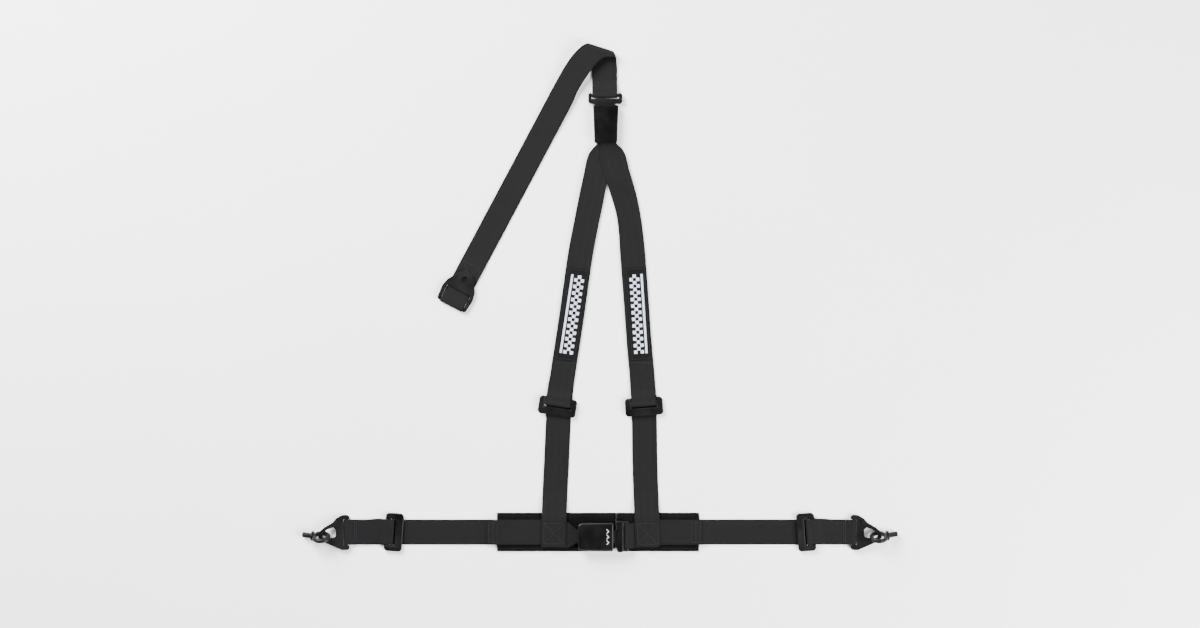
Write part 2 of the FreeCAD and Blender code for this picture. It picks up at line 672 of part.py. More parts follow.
def tail():
    """The tail strap: a loop on the yoke's top bar, a soft fold, and the long free part."""
    top, middle, radius = sheet.yoke_top_bar, sheet.yoke_z, sheet.loop_radius
    low = sheet.fold_z - sheet.fold_radius
    fold_y = sheet.fold_y
    along = upright(Vector(0, 0, 0), Vector(0, 1, 0))
    steps = [(516, low + 1.4), (434, low + 1.4), (top, middle + radius),
             ("arc", (top - radius, middle), (top, middle - radius)), (424, 0), (452, 0)]
    x = 9.2
    plan = [(x - 25, 397), (x + 25, 397), (x + 24, 450), (27, fold_y - 9.1),
            (-27, fold_y + 8.8), (x - 26, 450)]
    trimmed(strip(steps, along, "web_width * 3", -1), plan_prism(straight_edges(plan)),
            "tail_strap_root")
    across = UP.cross(FOLD_LINE)
    fold = [(0.01, low), ("arc", (sheet.fold_radius, sheet.fold_z), (0.01, low + 16.8))]
    middle_line = upright(Vector(0, fold_y, 0), across)
    finish(strip(fold, middle_line, "web_width * 1.138", 1), "tail_fold")
    high = sheet.fold_z + sheet.fold_radius
    two = sheet.layer_two
    steps = [(95, 0), (5.4, 0), ("arc", (0.2, radius), (5.4, 2 * radius)), (35, two), (99, two),
             (112, 1.4), (380, 1.4), (500, 8), (594, high)]
    band = strip(steps, upright(TAIL_ORIGIN, TAIL_ALONG), "web_width * 5")
    beyond = doc.addObject("Part::Box", "BeyondFold")
    beyond.Length = 200
    beyond.Width = 100
    beyond.Height = 80
    turn = math.degrees(math.atan2(FOLD_LINE.y, FOLD_LINE.x))
    start = Vector(0, fold_y, -30) - FOLD_LINE * 100 - across * sheet.body_gap
    beyond.Placement = turned(start.x, start.y, start.z, turn)
    aside = TAIL_ALONG.cross(UP) * sheet.web_width / 2
    middle_line = [TAIL_ORIGIN + TAIL_ALONG * s for s in TAIL_STRAIGHT]
    left = [point - aside for point in middle_line] + [Vector(x, y, 0) for x, y in TAIL_LEFT_BEND]
    right = [point + aside for point in middle_line]
    right += [Vector(x, y, 0) for x, y in TAIL_RIGHT_BEND]
    whole = doc.addObject("Part::Common", "Webbing")
    whole.Base = band
    whole.Tool = plan_prism(smooth_plan(left, right))
    made = doc.addObject("Part::Cut", "TailStrap")
    made.Base = whole
    made.Tool = beyond
    finish(made, "tail_strap")


def anchor_plate():
    """A steel end plate: webbing bar at one end, a window, and a bolt hole in the apex."""
    body = new_body()
    half_bar, bar, hole = sheet.bar_width / 2, 5.4, sheet.anchor_hole_x
    plan = [(1.5, -32, 7), (31, -34.5, 12), (46, -31, 10), (68, -17, 12), (78, -10, 12),
            (78, 10, 12), (68, 17, 12), (46, 31, 10), (31, 34.5, 12), (1.5, 32, 7)]
    add(body, outline(plan), "loop_radius - anchor_thick / 2", "anchor_thick")
    low = "loop_radius - anchor_thick / 2"
    cut(body, box(bar + half_bar, 37, -25.7, 25.7, 2), low, "anchor_thick")
    cut(body, box(0, bar - half_bar, -26.5, 26.5), low, "anchor_thick")
    cut(body, circle(hole, 0, sheet.anchor_hole), low, "anchor_thick")
    turn = math.degrees(math.atan2(TAIL_ALONG.y, TAIL_ALONG.x))
    finish(body, "anchor_plate", turned(TAIL_ORIGIN.x, TAIL_ORIGIN.y, 0, turn))


# ---- build, check and export ---------------------------------------------------------

for end in ("left", "right"):
    lap_end(end)
    lap_strap(end)
    lap_pad(end)
buckle_covers()
buckle_inside()
buckle_springs()
tongue()
shoulder_straps()
labels()
for end, (slide_x, slide_y, slide_turn) in SHOULDER_SLIDES.items():
    slide_set(f"shoulder_{end}", turned(slide_x, slide_y, 0, slide_turn - 90))
yoke()
tail()
anchor_plate()

doc.recompute()
for item in doc.Objects:
    if "Invalid" in item.State or "Error" in item.State:
        raise RuntimeError(f"{item.Label} failed: {item.State}")
for node in nodes:
    if node.Shape.isNull() or not node.Shape.isValid():
        raise RuntimeError(f"{node.Label} has no valid shape")
    if not node.Shape.Solids:
        raise RuntimeError(f"{node.Label} has no solid")

os.makedirs("parts", exist_ok=True)
for node in nodes:
    node.Shape.exportStep(f"parts/{node.Label}.step")
print(len(nodes), "sub-parts written")
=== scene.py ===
import bpy
import json
import math
import numpy as np
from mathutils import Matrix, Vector


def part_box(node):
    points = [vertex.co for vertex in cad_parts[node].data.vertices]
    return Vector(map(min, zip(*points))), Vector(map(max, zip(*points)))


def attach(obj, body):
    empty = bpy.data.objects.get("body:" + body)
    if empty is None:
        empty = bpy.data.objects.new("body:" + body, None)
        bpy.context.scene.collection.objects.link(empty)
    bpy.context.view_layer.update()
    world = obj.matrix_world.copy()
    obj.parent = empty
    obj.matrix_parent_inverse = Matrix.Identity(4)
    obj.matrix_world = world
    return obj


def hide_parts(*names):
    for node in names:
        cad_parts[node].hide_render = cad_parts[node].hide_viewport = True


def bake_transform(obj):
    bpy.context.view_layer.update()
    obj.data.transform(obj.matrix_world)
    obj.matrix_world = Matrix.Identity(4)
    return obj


# The looks of a three-point racing harness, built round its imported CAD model. Lengths are in
# millimetres until a mesh is made. Materials, floor, lights and camera are in metres.

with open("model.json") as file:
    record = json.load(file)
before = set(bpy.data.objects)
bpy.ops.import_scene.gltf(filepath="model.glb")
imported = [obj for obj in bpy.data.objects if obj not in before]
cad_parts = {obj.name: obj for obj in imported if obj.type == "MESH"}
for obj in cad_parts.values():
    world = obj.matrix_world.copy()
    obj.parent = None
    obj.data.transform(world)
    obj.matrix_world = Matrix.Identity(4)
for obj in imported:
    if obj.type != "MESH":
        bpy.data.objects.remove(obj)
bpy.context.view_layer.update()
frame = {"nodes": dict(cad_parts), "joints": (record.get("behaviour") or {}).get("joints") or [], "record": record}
nodes = frame["nodes"]
record = frame["record"]
joints = {joint["name"]: joint for joint in frame["joints"]}
mounts = {mount["name"]: mount for mount in record["mounts"]}

MM = 0.001
UP = np.array([0.0, 0.0, 1.0])
HALF_THICK = 0.7        # half the webbing's thickness
HALF_WEB = 25.0         # half the webbing's width
FLOOR_LAYER = 0.7       # height of the middle of the layer that lies on the surface
SECOND_LAYER = 2.3      # and of the layer above it
LAP_Y = -469.0
SIDES = {"left": -1, "right": 1}


# ---- reading the CAD model ----

def mesh_arrays(node):
    """A CAD node's vertices in millimetres, and its edges."""
    mesh = nodes[node].data
    points = np.array([v.co for v in mesh.vertices]) / MM
    edges = np.array([e.vertices[:] for e in mesh.edges])
    return points, edges


def strip_edges(names, along, across, distances):
    """The low and high side of CAD webbing, across a direction, where planes cut it."""
    low, high, where = [], [], []
    arrays = [mesh_arrays(name) for name in names]
    for distance in distances:
        found = []
        for points, edges in arrays:
            first, last = points[edges[:, 0]], points[edges[:, 1]]
            a, b = first @ along - distance, last @ along - distance
            cut = a * b < 0
            share = (a[cut] / (a[cut] - b[cut]))[:, None]
            found.append((first[cut] + (last[cut] - first[cut]) * share) @ across)
        found = np.concatenate(found)
        if len(found):
            where.append(distance)
            low.append(found.min())
            high.append(found.max())
    return np.array(where), np.array(low), np.array(high)


# ---- webbing ----

def lift(x, y):
    """Slow waves of webbing that was rolled up and laid out, in millimetres, never negative."""
    wave = math.sin(x * 0.031 + y * 0.017) + 0.7 * math.sin(y * 0.043 - x * 0.012 + 1.3)
    wave += 0.5 * math.sin(x * 0.071 + 2.1) * math.sin(y * 0.063)
    return 0.22 * (wave + 2.2)


def smooth_share(value, start, end):
    """0 before start, 1 after end, and a smooth change between them."""
    share = min(max((value - start) / (end - start), 0.0), 1.0)
    return share * share * (3 - 2 * share)


def calm(x, y):
    """How much of the waves a place keeps: none at the slides, the buckle and the yoke."""
    return min(smooth_share(math.hypot(x - cx, y - cy) - radius, 0, 60)
               for cx, cy, radius in QUIET)


def centre_of(node):
    low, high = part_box(node)
    middle = (low + high) / 2 / MM
    return middle.x, middle.y


# Where the webbing lies still: centre x, centre y and radius.
QUIET = [(*centre_of("yoke_plate"), 70), (*centre_of("buckle_cover_upper"), 110),
         (*centre_of("anchor_plate"), 70), (*centre_of("tail_fold"), 40)]
for side in SIDES:
    QUIET.append((*centre_of(f"slide_frame_lap_{side}"), 85))
    QUIET.append((*centre_of(f"slide_frame_shoulder_{side}"), 80))
    QUIET.append((*centre_of(f"snap_hook_{side}"), 45))


def arc(centre, radius, start, end, count=14):
    """Points of a side-view bend, between two angles in degrees."""
    angles = np.radians(np.linspace(start, end, count))
    return [(centre[0] + radius * math.cos(t), centre[1] + radius * math.sin(t)) for t in angles]


def round_slide(foot):
    """Side view of webbing that runs through a slide at foot, and back round its bar."""
    bar, bar_z, radius = foot - 3.5, 5.7, 3.1
    through = [(foot - 32, SECOND_LAYER), (foot - 20, 6.6), (foot - 11, 6.6), (bar - 1, 8.8)]
    return through + arc((bar, bar_z), radius, 90, -90) + [(bar - 5, 2.6)]


def eased(points, step=0.7, rounds=3):
    """A side view resampled evenly, with its corners softened as webbing softens them."""
    points = np.array(points, float)
    lengths = np.concatenate([[0], np.cumsum(np.linalg.norm(np.diff(points, axis=0), axis=1))])
    count = max(int(lengths[-1] / step), 8)
    even = np.linspace(0, lengths[-1], count)
    line = np.column_stack([np.interp(even, lengths, points[:, i]) for i in (0, 1)])
    for _ in range(rounds):
        line[1:-1] = (line[:-2] + 2 * line[1:-1] + line[2:]) / 4
    return line


def thinned(line, longest=5.0, turn=math.radians(7)):
    """Only the points a side view needs: close together in bends, far apart where straight."""
    kept = [0]
    turned = 0.0
    for i in range(1, len(line) - 1):
        a, b = line[i] - line[i - 1], line[i + 1] - line[i]
        turned += abs(math.atan2(a[0] * b[1] - a[1] * b[0], a @ b))
        if turned > turn or np.linalg.norm(line[i] - line[kept[-1]]) > longest:
            kept.append(i)
            turned = 0.0
    return line[kept + [len(line) - 1]]


# Across the webbing: share of the half width, and share of the half thickness.
SECTION = [(-0.975, 1), (-0.9, 1.0), (-0.5, 0.97), (0, 0.96), (0.5, 0.97), (0.9, 1.0), (0.975, 1),
           (1.0, 0.45), (1.0, -0.45),
           (0.975, -1), (0.9, -1.0), (0.5, -0.97), (0, -0.96), (-0.5, -0.97), (-0.9, -1.0),
           (-0.975, -1), (-1.0, -0.45), (-1.0, 0.45)]


class Webbing:
    """A closed ribbon of webbing. sides(s) gives the plan points of both its edges at s."""

    def __init__(self, name, profile, sides, waves=True):
        line = thinned(eased(profile))
        left, right = [], []
        for s, z in line:
            a, b = sides(s)
            for edge, point in ((left, a), (right, b)):
                up = lift(*point) * calm(*point) if waves else 0.0
                edge.append((point[0], point[1], z + up))
        self.name = name
        self.left, self.right = np.array(left), np.array(right)
        middle = (self.left + self.right) / 2
        steps = np.linalg.norm(np.diff(middle, axis=0), axis=1)
        self.run = np.concatenate([[0], np.cumsum(steps)])
        self.length = self.run[-1]
        along = np.gradient(middle, axis=0)
        normal = np.cross(self.right - self.left, along)
        self.normal = normal / np.linalg.norm(normal, axis=1)[:, None]
        self.obj = self.build()

    def build(self):
        count, around = len(self.run), len(SECTION)
        spots, uvs = [], []
        for i in range(count):
            middle = (self.left[i] + self.right[i]) / 2
            half = (self.right[i] - self.left[i]) / 2
            for a, t in SECTION:
                spots.append(middle + half * a + self.normal[i] * t * HALF_THICK)
                uvs.append((a * HALF_WEB * MM, self.run[i] * MM))
        faces = []
        for i in range(count - 1):
            for k in range(around):
                n = (k + 1) % around
                faces.append((i * around + k, i * around + n,
                              (i + 1) * around + n, (i + 1) * around + k))
        faces.append(tuple(range(around - 1, -1, -1)))
        faces.append(tuple(range((count - 1) * around, count * around)))
        return mesh_object(self.name, spots, faces, uvs)

    def point(self, run, share, above=0.0):
        """A point in millimetres on the ribbon's upper face, at a distance along it."""
        run = min(max(run, 0.0), self.length)
        at = [np.array([np.interp(run, self.run, edge[:, i]) for i in range(3)])
              for edge in (self.left, self.right, self.normal)]
        normal = at[2] / np.linalg.norm(at[2])
        if normal[2] < 0:
            normal = -normal
        middle, half = (at[0] + at[1]) / 2, (at[1] - at[0]) / 2
        return middle + half * share + normal * (HALF_THICK + above)


def mesh_object(name, points, faces, uvs=None, smooth=True):
    """A mesh object from points in millimetres. uvs are one for each point."""
    mesh = bpy.data.meshes.new(name)
    mesh.from_pydata([tuple(float(c) * MM for c in p) for p in points], [], faces)
    mesh.update()
    if uvs is not None:
        layer = mesh.uv_layers.new(name="weave")
        for loop in mesh.loops:
            layer.data[loop.index].uv = uvs[loop.vertex_index]
    obj = bpy.data.objects.new(name, mesh)
    bpy.context.scene.collection.objects.link(obj)
    if smooth:
        mesh.shade_smooth()
        mesh.set_sharp_from_angle(angle=math.radians(40))
    outward(mesh)
    return obj


def closed_sheet(name, points, wide):
    """A sheet closed round its rim, from an upper and then a lower layer in rows of wide."""
    under = len(points) // 2
    rows = under // wide
    faces = []
    for j in range(rows - 1):
        for i in range(wide - 1):
            a = j * wide + i
            faces.append((a, a + 1, a + 1 + wide, a + wide))
            faces.append((under + a + wide, under + a + 1 + wide, under + a + 1, under + a))
    ring = list(range(wide)) + [j * wide + wide - 1 for j in range(1, rows)]
    ring += [(rows - 1) * wide + i for i in range(wide - 2, -1, -1)]
    ring += [j * wide for j in range(rows - 2, 0, -1)]
    for a, b in zip(ring, ring[1:] + ring[:1]):
        faces.append((a, under + a, under + b, b))
    return mesh_object(name, points, faces)


def outward(mesh):
    """Turns a closed mesh's faces outwards if they point in."""
    volume = 0.0
    for face in mesh.polygons:
        corners = [mesh.vertices[i].co for i in face.vertices]
        for k in range(1, len(corners) - 1):
            volume += corners[0].dot(corners[k].cross(corners[k + 1]))
    if volume < 0:
        mesh.flip_normals()


def finish(obj, material, body, replaced=()):
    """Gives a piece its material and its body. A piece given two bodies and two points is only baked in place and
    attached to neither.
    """
    obj.data.materials.clear()
    obj.data.materials.append(material)
    if isinstance(body, tuple):
        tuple(body[2])
        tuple(body[3])
        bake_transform(obj)
    else:
        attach(obj, body)
    if replaced:
        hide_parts(*replaced)
    return obj


# ---- stitching ----

class Stitching:
    """Sewn thread: many short rounded stitches, gathered in one mesh."""

    def __init__(self):
        self.points, self.faces = [], []

    def stitch(self, start, end, up, thick=0.38):
        """One stitch, a bent bead of thread that dips into the cloth at both ends."""
        start, end = np.array(start, float), np.array(end, float)
        along = (end - start) / np.linalg.norm(end - start)
        across = np.cross(along, up)
        across /= np.linalg.norm(across)
        rings = ((0.0, -0.25, 0.45), (0.2, 0.12, 1.0), (0.5, 0.25, 1.1), (0.8, 0.12, 1.0),
                 (1.0, -0.25, 0.45))
        base = len(self.points)
        for share, rise, swell in rings:
            centre = start + (end - start) * share + up * rise * thick
            for k in range(6):
                angle = math.tau * k / 6
                offset = across * math.cos(angle) + up * math.sin(angle)
                self.points.append(centre + offset * thick * swell)
        for ring in range(len(rings) - 1):
            for k in range(6):
                a, b = base + ring * 6 + k, base + ring * 6 + (k + 1) % 6
                self.faces.append((a, b, b + 6, a + 6))
        last = base + (len(rings) - 1) * 6
        self.faces.append(tuple(base + k for k in range(5, -1, -1)))
        self.faces.append(tuple(last + k for k in range(6)))

    def seam(self, place, start, end, pitch=3.4, length=2.7):
        """A straight seam between two (run, across) spots of a surface that place() maps."""
        start, end = np.array(start, float), np.array(end, float)
        whole = np.linalg.norm(end - start)
        count = max(int(whole / pitch), 1)
        for i in range(count):
            a = start + (end - start) * (i * pitch / whole)
            b = start + (end - start) * ((i * pitch + length) / whole)
            first, last = place(*a), place(*b)
            lifted = place(a[0], a[1], 1.0) - first
            self.stitch(first, last, lifted / np.linalg.norm(lifted))

    def box_seam(self, place, runs, half, crossed=True):
        """A rectangle of stitches, with its two diagonals."""
        a, b = runs
        for first, last in (((a, -half), (b, -half)), ((a, half), (b, half)),
                            ((a, -half), (a, half)), ((b, -half), (b, half))):
            self.seam(place, first, last)
        if crossed:
            self.seam(place, (a, -half), (b, half))
            self.seam(place, (a, half), (b, -half))

    def build(self, name):
        return mesh_object(name, self.points, self.faces, smooth=True)


def on_ribbon(ribbon):
    """Maps (run, millimetres from the middle line) to a point on a ribbon."""
    def place(run, across, above=0.0):
        return ribbon.point(run, across / HALF_WEB, above)
    return place


# ---- materials ----

class Shader:
    """One material's node tree, round a Principled shader."""

    def __init__(self, name, colour, roughness, metallic=0.0, specular=0.5):
        self.material = bpy.data.materials.new(name)
        self.material.use_nodes = True
        self.tree = self.material.node_tree
        self.main = self.tree.nodes["Principled BSDF"]
        self.main.inputs["Base Color"].default_value = (*colour, 1)
        self.main.inputs["Roughness"].default_value = roughness
        self.main.inputs["Metallic"].default_value = metallic
        self.main.inputs["Specular IOR Level"].default_value = specular

    def add(self, kind, **settings):
        made = self.tree.nodes.new(kind)
        for key, value in settings.items():
            setattr(made, key, value)
        return made

    def wire(self, socket, value):
        if isinstance(value, bpy.types.NodeSocket):
            self.tree.links.new(value, socket)
        else:
            socket.default_value = value

    def math(self, operation, *values, clamp=False):
        made = self.add("ShaderNodeMath", operation=operation, use_clamp=clamp)
        for socket, value in zip(made.inputs, values):
            self.wire(socket, value)
        return made.outputs[0]

    def coordinates(self, output="Object"):
        return self.add("ShaderNodeTexCoord").outputs[output]

    def noise(self, scale, detail=3.0, roughness=0.5, vector=None):
        made = self.add("ShaderNodeTexNoise")
        made.inputs["Scale"].default_value = scale
        made.inputs["Detail"].default_value = detail
        made.inputs["Roughness"].default_value = roughness
        self.wire(made.inputs["Vector"], vector or self.coordinates())
        return made.outputs["Fac"]

    def ranged(self, value, low, high, to_low, to_high):
        made = self.add("ShaderNodeMapRange")
        for socket, number in zip(made.inputs, (value, low, high, to_low, to_high)):
            self.wire(socket, number)
        return made.outputs[0]

    def mix(self, share, first, second):
        made = self.add("ShaderNodeMix", data_type="RGBA")
        self.wire(made.inputs["Factor"], share)
        for socket, colour in ((made.inputs[6], first), (made.inputs[7], second)):
            self.wire(socket, (*colour, 1) if isinstance(colour, tuple) else colour)
        return made.outputs[2]

    def bump(self, height, distance, strength=1.0, normal=None):
        made = self.add("ShaderNodeBump")
        made.inputs["Strength"].default_value = strength
        made.inputs["Distance"].default_value = distance
        self.wire(made.inputs["Height"], height)
        if normal is not None:
            self.wire(made.inputs["Normal"], normal)
        return made.outputs["Normal"]

    def colour(self, value):
        self.wire(self.main.inputs["Base Color"], value)

    def roughness(self, value):
        self.wire(self.main.inputs["Roughness"], value)

    def normal(self, value):
        self.wire(self.main.inputs["Normal"], value)

    def sheen(self, weight, roughness, tint):
        self.main.inputs["Sheen Weight"].default_value = weight
        self.main.inputs["Sheen Roughness"].default_value = roughness
        self.main.inputs["Sheen Tint"].default_value = (*tint, 1)


def webbing_material():
    """Flat woven polyester: lengthwise ribs, a herringbone, firm edges and faint wear; the weave's valleys and the
    groove near each edge are painted darker as shade.
    """
    dark, light = (0.0034, 0.0034, 0.0036), (0.0088, 0.0088, 0.0092)
    shader = Shader("woven_polyester", dark, 0.62, specular=0.03)
    plan = shader.add("ShaderNodeUVMap", uv_map="weave").outputs[0]
    parts = shader.add("ShaderNodeSeparateXYZ")
    shader.wire(parts.inputs[0], plan)
    across, along = parts.outputs[0], parts.outputs[1]
    rib = shader.math("SINE", shader.math("MULTIPLY", across, math.tau / 0.00166))
    rib = shader.math("ABSOLUTE", rib)
    panel = shader.math("PINGPONG", across, 0.0072)
    slant = shader.math("ADD", shader.math("MULTIPLY", panel, 1.1), along)
    twill = shader.math("SINE", shader.math("MULTIPLY", slant, math.tau / 0.0013))
    twill = shader.math("MULTIPLY_ADD", twill, 0.5, 0.5)
    weave = shader.math("MULTIPLY_ADD", twill, 0.55, shader.math("MULTIPLY", rib, 0.45))
    edge = shader.math("ABSOLUTE", across)
    groove = shader.ranged(shader.math("ABSOLUTE", shader.math("SUBTRACT", edge, 0.0226)),
                           0.0, 0.0007, 0.0, 1.0)
    height = shader.math("MULTIPLY", weave, groove)
    slow = shader.noise(14, 3)
    fuzz = shader.noise(900, 2)
    # Painted shade: the colour follows the weave's height, so its valleys and the groove near each edge are
    # darker; the slow and fine noises add random mottling.
    weave_shade_and_mottle = shader.math("MULTIPLY_ADD", height, 0.55, shader.math("MULTIPLY", slow, 0.3))
    weave_shade_and_mottle = shader.math("MULTIPLY_ADD", fuzz, 0.18, weave_shade_and_mottle, clamp=True)
    shader.colour(shader.mix(weave_shade_and_mottle, dark, light))
    shader.roughness(shader.ranged(slow, 0.3, 0.7, 0.54, 0.7))
    shader.normal(shader.bump(height, 0.00032, 0.55, shader.bump(fuzz, 0.00008, 0.3)))
    shader.sheen(0.012, 0.4, (0.9, 0.9, 1.0))
    return shader.material


def pad_material():
    """Close-woven coated cloth, nearly black, with slight wrinkles here and there whose hollows are painted darker
    as shade.
    """
    shader = Shader("coated_cloth", (0.001, 0.001, 0.0011), 0.72, specular=0.06)
    place = shader.coordinates()
    parts = shader.add("ShaderNodeSeparateXYZ")
    shader.wire(parts.inputs[0], place)
    warp = shader.math("SINE", shader.math("MULTIPLY", parts.outputs[0], math.tau / 0.0011))
    weft = shader.math("SINE", shader.math("MULTIPLY", parts.outputs[1], math.tau / 0.0011))
    cloth = shader.math("MULTIPLY", warp, weft)
    crease_and_painted_shade = shader.noise(38, 4, 0.6)
    # Painted shade: the colour is darker where the wrinkle noise is low, in the hollows that the bump draws.
    shader.colour(shader.mix(crease_and_painted_shade, (0.0003, 0.0003, 0.00035), (0.001, 0.001, 0.0011)))
    shader.roughness(shader.ranged(crease_and_painted_shade, 0.3, 0.7, 0.62, 0.8))
    shader.normal(shader.bump(cloth, 0.0002, 0.6, shader.bump(crease_and_painted_shade, 0.0012, 0.35)))
    shader.sheen(0.006, 0.5, (1, 1, 1))
    return shader.material


def thread_material(name, colour):
    """Twisted sewing thread."""
    shader = Shader(name, colour, 0.5, specular=0.15)
    strands = shader.noise(1500, 1)
    bright = tuple(min(c * 1.7, 1.0) for c in colour)
    shader.colour(shader.mix(strands, colour, bright))
    shader.normal(shader.bump(strands, 0.0001, 0.5))
    return shader.material


def cloth_material(name, colour):
    """Satin-woven label yarn."""
    shader = Shader(name, colour, 0.6, specular=0.08)
    parts = shader.add("ShaderNodeSeparateXYZ")
    shader.wire(parts.inputs[0], shader.coordinates())
    rows = shader.math("SINE", shader.math("MULTIPLY", parts.outputs[1], math.tau / 0.0007))
    bright = tuple(min(c * 1.25 + 0.0004, 1.0) for c in colour)
    shader.colour(shader.mix(shader.noise(120, 3), colour, bright))
    shader.normal(shader.bump(rows, 0.00012, 0.6))
    return shader.material


def worn_metal(name, base, worn, roughness, metallic=1.0, wear=0.35, grain=180.0, depth=0.00006):
    """Coated steel whose coating is thin along its edges, with fine pitting."""
    shader = Shader(name, base, roughness, metallic, 0.2)
    soft = shader.add("ShaderNodeBevel", samples=4)
    soft.inputs["Radius"].default_value = 0.0007
    facing = shader.add("ShaderNodeVectorMath", operation="DOT_PRODUCT")
    shader.wire(facing.inputs[0], soft.outputs[0])
    shader.wire(facing.inputs[1], shader.add("ShaderNodeNewGeometry").outputs["Normal"])
    edge = shader.ranged(facing.outputs["Value"], 0.995, 0.86, 0.0, 1.0)
    patches = shader.noise(90, 4, 0.65)
    bare = shader.math("MULTIPLY", edge, shader.ranged(patches, 0.42, 0.62, 0.0, wear))
    stain = shader.noise(26, 4, 0.6)
    deep = tuple(c * 0.62 for c in base)
    coat = shader.mix(stain, deep, base)
    shader.colour(shader.mix(bare, coat, worn))
    low, high = roughness - 0.09, min(roughness + 0.12, 1.0)
    shader.roughness(shader.ranged(stain, 0.3, 0.7, low, high))
    pits = shader.noise(grain, 2)
    shader.normal(shader.bump(pits, depth, 0.6, soft.outputs[0]))
    return shader.material


def moulded_plastic(name, base, roughness, grain=650.0, specular=0.2):
    """Moulded plastic with a fine spark-eroded grain."""
    shader = Shader(name, base, roughness, specular=specular)
    soft = shader.add("ShaderNodeBevel", samples=4)
    soft.inputs["Radius"].default_value = 0.0006
    handled = shader.noise(32, 4, 0.6)
    pale = tuple(min(c * 1.5 + 0.0003, 1.0) for c in base)
    shader.colour(shader.mix(handled, base, pale))
    shader.roughness(shader.ranged(handled, 0.3, 0.7, roughness - 0.08, roughness + 0.1))
    shader.normal(shader.bump(shader.noise(grain, 1), 0.00007, 0.5, soft.outputs[0]))
    return shader.material


def floor_material():
    shader = Shader("pale_floor", (0.86, 0.86, 0.86), 0.9, specular=0.1)
    shader.colour(shader.mix(shader.noise(3, 2), (0.84, 0.84, 0.84), (0.88, 0.88, 0.88)))
    return shader.material


WEBBING = webbing_material()
PAD_CLOTH = pad_material()
THREAD = thread_material("dark_thread", (0.0085, 0.0085, 0.009))
PAD_THREAD = thread_material("black_thread", (0.002, 0.002, 0.0021))
LABEL_BLACK = cloth_material("label_black", (0.0003, 0.0003, 0.0004))
LABEL_WHITE = cloth_material("label_white", (0.4, 0.42, 0.49))
SLIDE_STEEL = worn_metal("black_coated_steel", (0.0007, 0.0007, 0.0008), (0.03, 0.03, 0.03), 0.38, 0.0)
HOOK_STEEL = worn_metal("phosphated_steel", (0.009, 0.009, 0.0096), (0.07, 0.07, 0.07), 0.42, 0.6)
BRIGHT_STEEL = worn_metal("dark_chromed_steel", (0.1, 0.1, 0.105), (0.28, 0.28, 0.28), 0.3)
SPRING_STEEL = worn_metal("spring_steel", (0.3, 0.3, 0.31), (0.5, 0.5, 0.5), 0.3)
BUCKLE_PLASTIC = moulded_plastic("buckle_plastic", (0.0004, 0.0004, 0.0005), 0.34)
YOKE_PLASTIC = moulded_plastic("yoke_plastic", (0.0004, 0.0004, 0.0005), 0.34, specular=0.12)
BUTTON_PLASTIC = moulded_plastic("red_button", (0.32, 0.012, 0.012), 0.35, 900)


# ---- lap straps ----

def lap_plan(side):
    """Both edges of a lap strap in plan, at a distance outwards from the buckle's middle."""
    sign = SIDES[side]
    where, low, high = strip_edges([f"lap_strap_{side}"], np.array([sign, 0, 0]),
                                   np.array([0, 1, 0]), np.arange(36, 440, 2.0))

    def sides(s):
        low_y, high_y = np.interp(s, where, low), np.interp(s, where, high)
        pair = ((sign * s, high_y), (sign * s, low_y))
        return pair if side == "right" else pair[::-1]
    return sides


def lap_strap(side):
    """The doubled strap: under the slide, over the pad, round the buckle's bar and back."""
    if side == "left":
        bar, middle, radius, knee, rest, pad_edge = 38.5, 10.8, 3.9, 64, 9, 206
        seam = [(209, 6.6), (226, 3.5)]
    else:
        bar, middle, radius, knee, rest, pad_edge = 52.8, 13.95, 4.1, 68, 4, 198
        seam = [(199, 6.6), (204, 6.0)]
    profile = [(482, FLOOR_LAYER), (pad_edge + 26, FLOOR_LAYER), (pad_edge + 3, 5.0),
               (knee - 3, 5.0), (bar + rest, middle - radius), (bar, middle - radius)]
    profile += arc((bar, middle), radius, -90, -270)
    profile += [(bar + 3, middle + radius - 0.6), (knee, 6.6)] + seam
    ribbon = Webbing(f"lap_webbing_{side}", profile, lap_plan(side))
    sign = SIDES[side]
    inner = "root" if side == "left" else "right_lap"
    finish(ribbon.obj, WEBBING,
           (inner, f"lap_pull_{side}", (sign * 0.40, LAP_Y * MM, 0), (sign * 0.475, LAP_Y * MM, 0)),
           [f"lap_strap_{side}"])
    sewn = Stitching()
    end = ribbon.length
    sewn.box_seam(on_ribbon(ribbon), (end - 21, end - 4), 20, crossed=False)
    sewn.seam(on_ribbon(ribbon), (end - 12.5, -20), (end - 12.5, 20))
    finish(sewn.build(f"lap_seam_{side}"), THREAD, inner)


